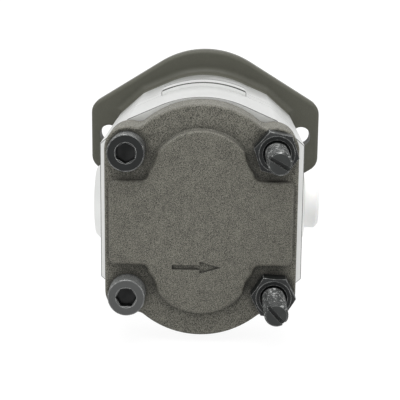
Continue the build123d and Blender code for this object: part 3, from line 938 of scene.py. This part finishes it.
class TurnedTree:
    """Geometry tree of a bar whose radius follows a rule, with tools cut out of its rear end.

    A subclass gives the rule, the tools and its own inputs. In the tree the bar rises along Z from
    its seat, and at the end it is laid along the pump's -Y axis.
    """

    name = "turned"
    has_shank = True
    shape_inputs: Values = {}
    tool_sides = 48
    bench: NodeBench
    given: Values

    def __init__(self) -> None:
        """Builds the tree."""
        inputs = {
            "Length": 10.0 * MM,
            "Segments": 48,
            "Rings": 24,
            "Shank Radius": 4.0 * MM,
            "Shank Length": 100.0 * MM,
            "Tool Angle": 0.0,
            "Bar Angle": 0.0,
            "Seat": NO_TURN,
            "Material": None,
            **self.shape_inputs,
        }
        self.tree = new_group(self.name, "GeometryNodeTree", inputs, self.wire)

    def wire(self, bench: NodeBench, given: Values) -> Values:
        """Wires the tree.

        Args:
            bench: The tree's bench.
            given: Its input sockets by name.

        Returns:
            The finished geometry.
        """
        self.bench, self.given = bench, given
        bar = self.cylinder(given["Segments"], 1.0, given["Length"], given["Rings"])
        x, y, z = bench.separate(bench.add("GeometryNodeInputPosition").outputs[0])
        along = bench.math("MULTIPLY_ADD", given["Length"], 0.5, z)
        radius = self.radius(bench.math("ARCTAN2", y, x), along)
        place = bench.combine(bench.math("MULTIPLY", x, radius), bench.math("MULTIPLY", y, radius), along)
        shaped = bench.add("GeometryNodeSetPosition", {"Geometry": bar, "Position": place})
        cut = bench.add("GeometryNodeMeshBoolean", operation="DIFFERENCE", solver="EXACT")
        bench.feed(cut.inputs["Mesh 1"], shaped.outputs[0])
        for tool in self.tools():
            bench.feed(cut.inputs["Mesh 2"], tool)
        both = bench.add("GeometryNodeJoinGeometry", {0: cut.outputs["Mesh"]})
        if self.has_shank:
            bench.feed(both.inputs[0], self.shank())
        turn = bench.combine(math.radians(90), bench.math("MULTIPLY", given["Bar Angle"], -1.0), 0.0)
        laid = bench.moved(both.outputs[0], given["Seat"], turn)
        return {"Geometry": bench.dressed(laid, given["Material"])}

    def cylinder(self, sides: object, radius: object, depth: object, rings: object = 1) -> Socket:
        """Makes a cylinder about the bar's axis, half of it below the seat.

        Args:
            sides: Number of its sides.
            radius: Its radius.
            depth: Its length.
            rings: Number of rings of faces along it.

        Returns:
            Its mesh's socket.
        """
        inputs = {"Vertices": sides, "Side Segments": rings, "Radius": radius, "Depth": depth}
        return self.bench.add("GeometryNodeMeshCylinder", inputs, fill_type="NGON").outputs["Mesh"]

    def cone(self, bottom: object, top: object, depth: object) -> Socket:
        """Makes a cone that rises from the seat about the bar's axis.

        Args:
            bottom: Its radius at the seat.
            top: Its radius at the top.
            depth: Its height.

        Returns:
            Its mesh's socket.
        """
        inputs = {
            "Vertices": self.tool_sides,
            "Radius Top": top,
            "Radius Bottom": bottom,
            "Depth": depth,
        }
        return self.bench.add("GeometryNodeMeshCone", inputs, fill_type="NGON").outputs["Mesh"]

    def raised(self, mesh: object, height: object, turn: object = NO_TURN) -> Socket:
        """Moves a mesh along the bar.

        Args:
            mesh: The mesh's socket.
            height: How far towards the rear end.
            turn: Its turn, as angles about X, Y and Z.

        Returns:
            The moved mesh's socket.
        """
        return self.bench.moved(mesh, self.bench.combine(0.0, 0.0, height), turn)

    def shank(self) -> Socket:
        """Gives the plain shank that carries on in front of the seat."""
        length = self.given["Shank Length"]
        plain = self.cylinder(32, self.given["Shank Radius"], length)
        return self.raised(plain, self.bench.math("MULTIPLY", length, -0.5))

    def tool_turn(self) -> Socket:
        """Gives the turn of a tool about the bar's axis."""
        return self.bench.combine(0.0, 0.0, self.given["Tool Angle"])

    def radius(self, turn: Socket, along: Socket) -> Socket:
        """Gives the bar's radius.

        Args:
            turn: Angle round the bar.
            along: Distance from its seat, towards its rear end.

        Returns:
            The radius's socket.
        """
        raise NotImplementedError

    def tools(self) -> list[Socket]:
        """Gives the meshes that are cut out of the bar."""
        raise NotImplementedError


class ThreadedEndTree(TurnedTree):
    """Free end of a stud: a rolled thread with a chamfered, slotted tip."""

    name = "threaded_end"
    shape_inputs = {
        "Crest Radius": 5.0 * MM,
        "Root Radius": 4.1 * MM,
        "Pitch": 1.5 * MM,
        "Chamfer": 0.7 * MM,
        "Slot Width": 1.7 * MM,
        "Slot Depth": 2.6 * MM,
    }
    # Flanks this much steeper than a full V leave the crests flat.
    steepness = 1.18

    def radius(self, turn: Socket, along: Socket) -> Socket:
        """Follows a right-handed thread and fades into the tip's chamfer. See TurnedTree.radius."""
        bench, given = self.bench, self.given
        rise = bench.math("DIVIDE", along, given["Pitch"])
        turns = bench.math("SUBTRACT", rise, bench.math("DIVIDE", turn, math.tau))
        wave = bench.math("PINGPONG", bench.math("MULTIPLY", turns, 2.0), 1.0)
        flank = bench.math("MINIMUM", bench.math("MULTIPLY", wave, self.steepness), 1.0)
        depth = bench.math("SUBTRACT", given["Crest Radius"], given["Root Radius"])
        thread = bench.math("MULTIPLY_ADD", depth, flank, given["Root Radius"])
        left = bench.math("SUBTRACT", given["Length"], along)
        tip = bench.math("ADD", bench.math("SUBTRACT", given["Crest Radius"], given["Chamfer"]), left)
        return bench.math("MINIMUM", thread, tip)

    def tools(self) -> list[Socket]:
        """Gives the screwdriver slot."""
        bench, given = self.bench, self.given
        wide = bench.math("MULTIPLY", given["Crest Radius"], 3.0)
        deep = bench.math("MULTIPLY", given["Slot Depth"], 2.0)
        size = bench.combine(wide, given["Slot Width"], deep)
        block = bench.add("GeometryNodeMeshCube", {"Size": size}).outputs["Mesh"]
        return [self.raised(block, given["Length"], self.tool_turn())]


class CapHeadTree(TurnedTree):
    """Head of a socket screw: straight knurl, rounded rim and a hexagon socket over a drilled point."""

    name = "cap_head"
    shape_inputs = {
        "Head Radius": 8.0 * MM,
        "Rim Round": 0.35 * MM,
        "Knurls": 46,
        "Knurl Depth": 0.18 * MM,
        "Socket Radius": 4.6 * MM,
        "Socket Depth": 5.0 * MM,
        "Drill Radius": 3.6 * MM,
    }
    # The knurl fades in between these distances from either end of the head.
    fade = (0.5 * MM, 1.0 * MM)
    # Lead-in cone at the mouth: its radii as shares of the socket's, its depth and how deep it starts.
    mouth_radii = (0.86, 1.13)
    mouth_depth = 0.74 * MM
    mouth_drop = 0.36 * MM
    # Drilled point below the socket: its tip's share of the drill's radius, its depth and its drop.
    point_share = 0.43
    point_depth = 0.9 * MM
    point_drop = 0.8 * MM

    def radius(self, turn: Socket, along: Socket) -> Socket:
        """Waves with the knurl along the side and rounds over at the rim. See TurnedTree.radius."""
        bench, given = self.bench, self.given
        left = bench.math("SUBTRACT", given["Length"], along)
        gap = bench.math("MAXIMUM", bench.math("SUBTRACT", given["Rim Round"], left), 0.0)
        square = bench.math("MULTIPLY", given["Rim Round"], given["Rim Round"])
        inside = bench.math("SQRT", bench.math("SUBTRACT", square, bench.math("MULTIPLY", gap, gap)))
        drop = bench.math("SUBTRACT", given["Rim Round"], inside)
        wave = bench.math("COSINE", bench.math("MULTIPLY", turn, given["Knurls"]))
        notch = bench.math("MULTIPLY", given["Knurl Depth"], bench.math("MULTIPLY_ADD", wave, 0.5, 0.5))
        side = bench.math("MULTIPLY", bench.ramp(along, *self.fade), bench.ramp(left, *self.fade))
        band = bench.math("MULTIPLY", notch, side)
        return bench.math("SUBTRACT", bench.math("SUBTRACT", given["Head Radius"], drop), band)

    def tools(self) -> list[Socket]:
        """Gives the hexagon, the lead-in cone at its mouth and the drilled point below it."""
        bench, given = self.bench, self.given
        size = given["Socket Radius"]
        hexagon = self.cylinder(6, size, bench.math("MULTIPLY", given["Socket Depth"], 2.0))
        low, high = (bench.math("MULTIPLY", size, share) for share in self.mouth_radii)
        mouth = self.cone(low, high, self.mouth_depth)
        tip = bench.math("MULTIPLY", given["Drill Radius"], self.point_share)
        point = self.cone(tip, given["Drill Radius"], self.point_depth)
        floor = bench.math("SUBTRACT", given["Length"], given["Socket Depth"])
        return [
            self.raised(hexagon, given["Length"], self.tool_turn()),
            self.raised(mouth, bench.math("SUBTRACT", given["Length"], self.mouth_drop)),
            self.raised(point, bench.math("SUBTRACT", floor, self.point_drop)),
        ]


class NutTree(TurnedTree):
    """Hexagon nut with a chamfered rear face and a countersunk bore."""

    name = "nut"
    has_shank = False
    shape_inputs = {
        "Half Flats": 8.5 * MM,
        "Face Radius": 7.5 * MM,
        "Bore Radius": 4.6 * MM,
        "Mouth Radius": 5.9 * MM,
    }
    # The bore's tool is this much longer than the nut, so that it cuts through.
    overlength = 2.4

    def radius(self, turn: Socket, along: Socket) -> Socket:
        """Follows the hexagon and turns its corners off at the rear. See TurnedTree.radius."""
        bench, given = self.bench, self.given
        half_side = math.radians(30)
        from_flat = bench.math("WRAP", turn, half_side, -half_side)
        hexagon = bench.math("DIVIDE", given["Half Flats"], bench.math("COSINE", from_flat))
        left = bench.math("SUBTRACT", given["Length"], along)
        cone = bench.math("MULTIPLY_ADD", left, math.sqrt(3), given["Face Radius"])
        return bench.math("MINIMUM", hexagon, cone)

    def tools(self) -> list[Socket]:
        """Gives the bore and its countersink."""
        bench, length, mouth = self.bench, self.given["Length"], self.given["Mouth Radius"]
        through = bench.math("MULTIPLY", length, self.overlength)
        bore = self.cylinder(self.tool_sides, self.given["Bore Radius"], through)
        return [
            self.raised(bore, bench.math("MULTIPLY", length, 0.5)),
            self.raised(self.cone(0.0, mouth, mouth), bench.math("SUBTRACT", length, mouth)),
        ]


@dataclass
class FastenerPair:
    """Two alike fasteners, one above the other, in place of the CAD node that holds both.

    Attributes:
        name: Name of the new piece.
        node: The CAD node it stands for.
        slot: Its material slot.
        shape: Geometry tree of one of them.
        axes: X and Z of the upper and of the lower axis.
        seat: Y of the face that they rise from.
        turned: The tree's input for their turn.
        angles: Turn of the upper and of the lower one, in degrees.
        crease: Angle in degrees above which an edge stays sharp.
    """

    name: str
    node: str
    slot: str
    shape: TurnedTree
    axes: tuple[tuple[float, float], ...]
    seat: float
    turned: str
    angles: tuple[float, float]
    crease: float

    def build(self, finishes: Finishes, values: Values) -> None:
        """Makes both and puts them in the scene as one piece.

        Args:
            finishes: The materials by slot.
            values: The tree's input values that both share.
        """
        material = finishes[self.slot]
        meshes = []
        for (x, z), angle in zip(self.axes, self.angles):
            own = {"Seat": (x, self.seat, z), self.turned: math.radians(angle), "Material": material}
            meshes.append(run_tree(f"{self.name}_single", self.shape.tree, {**values, **own}))
        mesh = join_meshes(self.name, meshes, material)
        add_piece(mesh, Body.HOUSING, self.node, self.crease)


@dataclass
class TieFasteners:
    """The two slotted studs with their nuts and the two socket screws that hold the sections together.

    Attributes:
        pitch: Thread pitch of the studs.
        thread_depth: Depth of their thread.
        tip_chamfer: Chamfer of a stud's tip.
        slot_width: Width of a stud's slot.
        slot_depth: Depth of a stud's slot.
        slot_angles: Turn of the upper and the lower slot, in degrees.
        head_radius: Radius of a screw head.
        head_height: Height of a screw head.
        socket_flats: Width of a screw's socket across its flats.
        socket_depth: Depth of the socket.
        socket_angles: Turn of the upper and the lower socket, in degrees.
        knurls: Number of grooves round a screw head.
        screw_shank: Radius of a screw's shank, at the mean line of its thread.
        nut_flats: Width of a nut across its flats.
        nut_angles: Turn of the upper and the lower nut, in degrees.
        nut_face_radius: Radius of a nut's rear face inside its chamfer.
        nut_bore_radius: Radius of a nut's bore.
        nut_mouth_radius: Radius of the bore's countersink.
    """

    pitch: float = 1.5 * MM
    thread_depth: float = 0.8 * MM
    tip_chamfer: float = 0.7 * MM
    slot_width: float = 1.7 * MM
    slot_depth: float = 2.6 * MM
    slot_angles: tuple[float, float] = (-30.0, -47.0)
    head_radius: float = 8.0 * MM
    head_height: float = 10.0 * MM
    socket_flats: float = 8.0 * MM
    socket_depth: float = 5.0 * MM
    socket_angles: tuple[float, float] = (90.0, 0.0)
    knurls: int = 60
    screw_shank: float = 4.51 * MM
    nut_flats: float = 17.0 * MM
    nut_angles: tuple[float, float] = (18.5, 27.0)
    nut_face_radius: float = 7.6 * MM
    nut_bore_radius: float = 4.6 * MM
    nut_mouth_radius: float = 6.0 * MM

    def build(self, finishes: Finishes) -> None:
        """Makes the studs, the nuts and the screws.

        Args:
            finishes: The materials by slot.
        """
        crest = (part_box("studs")[1].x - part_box("studs")[0].x) / 2
        axes, front, end = self.pair_places("studs", crest)
        nut_rear, nut_seat = (corner.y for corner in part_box("stud_nuts"))
        self.studs(finishes, axes, crest, (nut_rear, front, end))
        self.nuts(finishes, axes, nut_seat, nut_seat - nut_rear)
        self.screws(finishes)

    @staticmethod
    def pair_places(node: str, radius: float) -> tuple[tuple[tuple[float, float], ...], float, float]:
        """Finds the axes and the ends of two bars that lie above one another.

        Args:
            node: The CAD node that holds both.
            radius: Their largest radius.

        Returns:
            X and Z of the upper and of the lower axis, then the front end and the rear end.
        """
        low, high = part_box(node)
        x = (low.x + high.x) / 2
        return ((x, high.z - radius), (x, low.z + radius)), high.y, low.y

    def studs(self, finishes: Finishes, axes: tuple, crest: float, ends: tuple[float, ...]) -> None:
        """Makes both studs in place of their CAD node.

        Args:
            finishes: The materials by slot.
            axes: Their axes.
            crest: Radius of the thread's crests.
            ends: Y where the thread comes out of the nut, of the front end and of the rear end.
        """
        seat, front, rear = ends
        length = seat - rear
        values = {
            "Length": length,
            "Segments": 48,
            "Rings": round(length / self.pitch * RINGS_PER_TURN),
            "Shank Radius": crest - MEAN_LINE * self.pitch,
            "Shank Length": front - seat,
            "Crest Radius": crest,
            "Root Radius": crest - self.thread_depth,
            "Pitch": self.pitch,
            "Chamfer": self.tip_chamfer,
            "Slot Width": self.slot_width,
            "Slot Depth": self.slot_depth,
        }
        FastenerPair(
            "threaded_studs", "studs", "stud_steel", ThreadedEndTree(), axes, seat,
            turned="Tool Angle", angles=self.slot_angles, crease=35.0
        ).build(finishes, values)

    def nuts(self, finishes: Finishes, axes: tuple, seat: float, length: float) -> None:
        """Makes both nuts in place of their CAD node.

        Args:
            finishes: The materials by slot.
            axes: Their axes.
            seat: Y of the face that they sit on.
            length: Their height.
        """
        values = {
            "Length": length,
            "Segments": 96,
            "Rings": 48,
            "Half Flats": self.nut_flats / 2,
            "Face Radius": self.nut_face_radius,
            "Bore Radius": self.nut_bore_radius,
            "Mouth Radius": self.nut_mouth_radius,
        }
        FastenerPair(
            "chamfered_nuts", "stud_nuts", "fastener_steel", NutTree(), axes, seat,
            turned="Bar Angle", angles=self.nut_angles, crease=25.0
        ).build(finishes, values)

    def screws(self, finishes: Finishes) -> None:
        """Makes both socket screws in place of their CAD node.

        Args:
            finishes: The materials by slot.
        """
        axes, front, rear = self.pair_places("cap_screws", self.head_radius)
        seat = rear + self.head_height
        values = {
            "Length": self.head_height,
            "Segments": self.knurls * 4,
            "Rings": 56,
            "Shank Radius": self.screw_shank,
            "Shank Length": front - seat,
            "Head Radius": self.head_radius,
            "Knurls": self.knurls,
            "Socket Radius": self.socket_flats / math.sqrt(3),
            "Socket Depth": self.socket_depth,
        }
        FastenerPair(
            "knurled_screws", "cap_screws", "fastener_steel", CapHeadTree(), axes, seat,
            turned="Tool Angle", angles=self.socket_angles, crease=30.0
        ).build(finishes, values)


@dataclass
class PortThreads:
    """Threads of the three open ports, as a fine helical ridge in each bore.

    Attributes:
        inlet_pitch: Pitch of the threads in the wide inlets.
        outlet_pitch: Pitch of the thread in the narrower outlet.
        height: Height of the ridge.
        lead_in: How far inside the mouth the ridge begins.
        depth: How deep it runs.
    """

    inlet_pitch: float = 2.12 * MM
    outlet_pitch: float = 1.81 * MM
    height: float = 0.35 * MM
    lead_in: float = 1.8 * MM
    depth: float = 14.0 * MM

    def build(self, frame: dict, finishes: Finishes) -> None:
        """Makes one piece that holds all the ridges.

        Args:
            finishes: The materials by slot.
        """
        inputs = {
            "Bore Radius": 10.0 * MM,
            "Pitch": 2.0 * MM,
            "Height": 0.5 * MM,
            "Depth": 14.0 * MM,
            "Start": NO_TURN,
            "Turn": NO_TURN,
            "Material": None,
        }
        tree = new_group("port_thread", "GeometryNodeTree", inputs, self.wire)
        material = finishes["body_aluminium"]
        meshes = []
        for mount in frame["record"]["mounts"]:
            if mount["kind"] != "threaded_hole":
                continue
            side = mount["axis"][0]
            section = mount["name"].split("_")[0]
            low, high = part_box(f"{section}_body")
            mouth = high.x if side > 0 else low.x
            values = {
                "Bore Radius": mount["dims"]["r_mm"] * MM,
                "Pitch": self.inlet_pitch if side < 0 else self.outlet_pitch,
                "Height": self.height,
                "Depth": self.depth,
                "Start": (mouth - side * self.lead_in, mount["pos_m"][1], mount["pos_m"][2]),
                "Turn": (0.0, math.radians(-90.0 * side), 0.0),
                "Material": material,
            }
            meshes.append(run_tree("port_thread", tree, values))
        mesh = join_meshes("port_threads", meshes, material)
        add_piece(mesh, Body.HOUSING, None, 25.0)

    @staticmethod
    def wire(bench: NodeBench, given: Values) -> Values:
        """Wires one ridge: a low V swept along a helix, its other half in the bore's wall.

        Args:
            bench: The tree's bench.
            given: Its input sockets by name.

        Returns:
            The finished geometry.
        """
        helix = bench.add(
            "GeometryNodeCurveSpiral",
            {
                "Resolution": 48,
                "Rotations": bench.math("DIVIDE", given["Depth"], given["Pitch"]),
                "Height": given["Depth"],
                "Start Radius": given["Bore Radius"],
                "End Radius": given["Bore Radius"],
            },
        )
        upright = bench.add("GeometryNodeSetCurveNormal", {"Curve": helix.outputs[0]}, mode="Z_UP")
        inputs = {"Resolution": 4, "Radius": given["Height"]}
        square = bench.add("GeometryNodeCurvePrimitiveCircle", inputs, mode="RADIUS").outputs[0]
        half_width = bench.math("MULTIPLY", given["Pitch"], 0.4)
        flare = bench.combine(1.0, bench.math("DIVIDE", half_width, given["Height"]), 1.0)
        ridge = bench.add("GeometryNodeTransform", {"Geometry": square, "Scale": flare}).outputs[0]
        inputs = {"Curve": upright.outputs[0], "Profile Curve": ridge, "Fill Caps": True}
        swept = bench.add("GeometryNodeCurveToMesh", inputs).outputs[0]
        laid = bench.moved(swept, given["Start"], given["Turn"])
        return {"Geometry": bench.dressed(laid, given["Material"])}


@dataclass
class Studio:
    """Camera, lamps, white surroundings and a pale floor.

    Attributes:
        image_width: Width of the picture, in pixels.
        focal_pixels: Focal length, in pixels.
        yaw: Turn of the view to the right, in radians.
        pitch: Tilt of the view downwards, in radians.
        roll: Turn of the picture, in radians.
        eye: Where the camera stands.
        fill: Strength of the world's light from all round.
        sky: Strength that it gains straight above.
        floor_tone: Grey of the floor as the part sees it.
        floor_seen: Grey of the floor as the camera and mirrored rays see it.
        floor_glow: What is added there, so that the unshaded floor is white.
        floor_half: Half the floor's width.
        aim: What the lamps point at.
        lamps: Name, place, size and power of each lamp.
    """

    image_width: int = 400
    focal_pixels: float = 1085.2
    yaw: float = -0.01373
    pitch: float = 0.20632
    roll: float = -0.00990
    eye: tuple[float, float, float] = (0.005826, -0.60869, 0.08823)
    fill: float = 0.15
    sky: float = 1.45
    floor_tone: float = 0.66
    floor_seen: float = 0.09
    floor_glow: float = 0.92
    floor_half: float = 20.0
    aim: tuple[float, float, float] = (0.0, -0.08, -0.02)
    lamps: tuple[tuple, ...] = (
        ("key_above", (-0.1, -0.4, 1.1), (0.9, 0.7), 8.0),
        ("front_left", (-0.55, -0.75, 0.2), (0.4, 0.6), 0.7),
        ("front_right", (0.6, -0.6, 0.25), (0.35, 0.6), 0.7),
    )

    def build(self) -> None:
        """Sets up camera, light and floor."""
        self.camera()
        self.world()
        self.lights()
        self.floor()

    def camera(self) -> None:
        """Places the camera at the photograph's point of view."""
        level = math.cos(self.pitch)
        ahead = Vector((math.sin(self.yaw) * level, math.cos(self.yaw) * level, -math.sin(self.pitch)))
        right = Vector((math.cos(self.yaw), -math.sin(self.yaw), 0.0))
        down = ahead.cross(right)
        across = right * math.cos(self.roll) + down * math.sin(self.roll)
        below = down * math.cos(self.roll) - right * math.sin(self.roll)
        camera = bpy.data.objects.new("camera", bpy.data.cameras.new("camera"))
        bpy.context.scene.collection.objects.link(camera)
        camera.data.sensor_width = 36.0
        camera.data.lens = self.focal_pixels / self.image_width * camera.data.sensor_width
        camera.data.clip_start = 0.01
        turned = Matrix((across, -below, -ahead)).transposed().to_4x4()
        camera.matrix_world = Matrix.Translation(self.eye) @ turned
        bpy.context.scene.camera = camera

    @staticmethod
    def seen_directly(bench: NodeBench) -> bpy.types.NodeSocket:
        """Gives 1 for what the camera sees itself, in a mirror or through glass.

        Args:
            bench: Bench of the world or of the material.

        Returns:
            The mask's socket.
        """
        path = bench.add("ShaderNodeLightPath")
        direct = bench.math("MAXIMUM", path.outputs["Is Camera Ray"], path.outputs["Is Glossy Ray"])
        return bench.math("MAXIMUM", direct, path.outputs["Is Transmission Ray"])

    def world(self) -> None:
        """Makes the surroundings white to look at and a soft dome of light to everything else."""
        world = bpy.data.worlds.new("studio")
        bpy.context.scene.world = world
        world.use_nodes = True
        bench = NodeBench(world.node_tree)
        back = world.node_tree.nodes["Background"]
        back.inputs["Color"].default_value = (1.0, 1.0, 1.0, 1.0)
        up = bench.separate(bench.coordinates("Generated"))[2]
        height = bench.math("POWER", bench.math("MAXIMUM", up, 0.0), 2.0)
        dome = bench.math("MULTIPLY_ADD", height, self.sky, self.fill)
        seen = self.seen_directly(bench)
        kept = bench.math("MULTIPLY", bench.math("SUBTRACT", 1.0, seen), dome)
        bench.feed(back.inputs["Strength"], bench.math("ADD", seen, kept))

    def lights(self) -> None:
        """Hangs a wide lamp above and a smaller one at each side of the camera."""
        for name, place, size, power in self.lamps:
            lamp = bpy.data.lights.new(name, "AREA")
            lamp.shape = "RECTANGLE"
            lamp.size, lamp.size_y = size
            lamp.energy = power
            holder = bpy.data.objects.new(name, lamp)
            bpy.context.scene.collection.objects.link(holder)
            holder.location = place
            sight = Vector(self.aim) - Vector(place)
            holder.rotation_euler = sight.to_track_quat("-Z", "Y").to_euler()

    def floor(self) -> None:
        """Lays a pale floor below the part."""
        low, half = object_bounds()[0].z, self.floor_half
        corners = [(-half, -half, low), (half, -half, low), (half, half, low), (-half, half, low)]
        mesh = bpy.data.meshes.new("floor")
        mesh.from_pydata(corners, [], [(0, 1, 2, 3)])
        floor = bpy.data.objects.new("floor", mesh)
        bpy.context.scene.collection.objects.link(floor)
        bench = ShaderBench("floor")
        seen = self.seen_directly(bench)
        tone = bench.ramp(seen, 0.0, 1.0, self.floor_tone, self.floor_seen)
        bench.shade(
            {
                "Base Color": bench.combine(tone, tone, tone),
                "Roughness": 0.9,
                "Emission Color": (1.0, 1.0, 1.0, 1.0),
                "Emission Strength": bench.math("MULTIPLY", seen, self.floor_glow),
            }
        )
        mesh.materials.append(bench.material)
        floor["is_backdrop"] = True


def main() -> None:
    """Builds the looks in order."""
    logging.basicConfig(level=logging.INFO, format="%(name)s: %(message)s")
    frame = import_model()
    finishes = Finishes()
    carry_over(frame, finishes)
    TieFasteners().build(finishes)
    PortThreads().build(frame, finishes)
    Studio().build()
    scene = bpy.context.scene
    scene.view_settings.view_transform = "Standard"


if __name__ == "__main__":
    main()
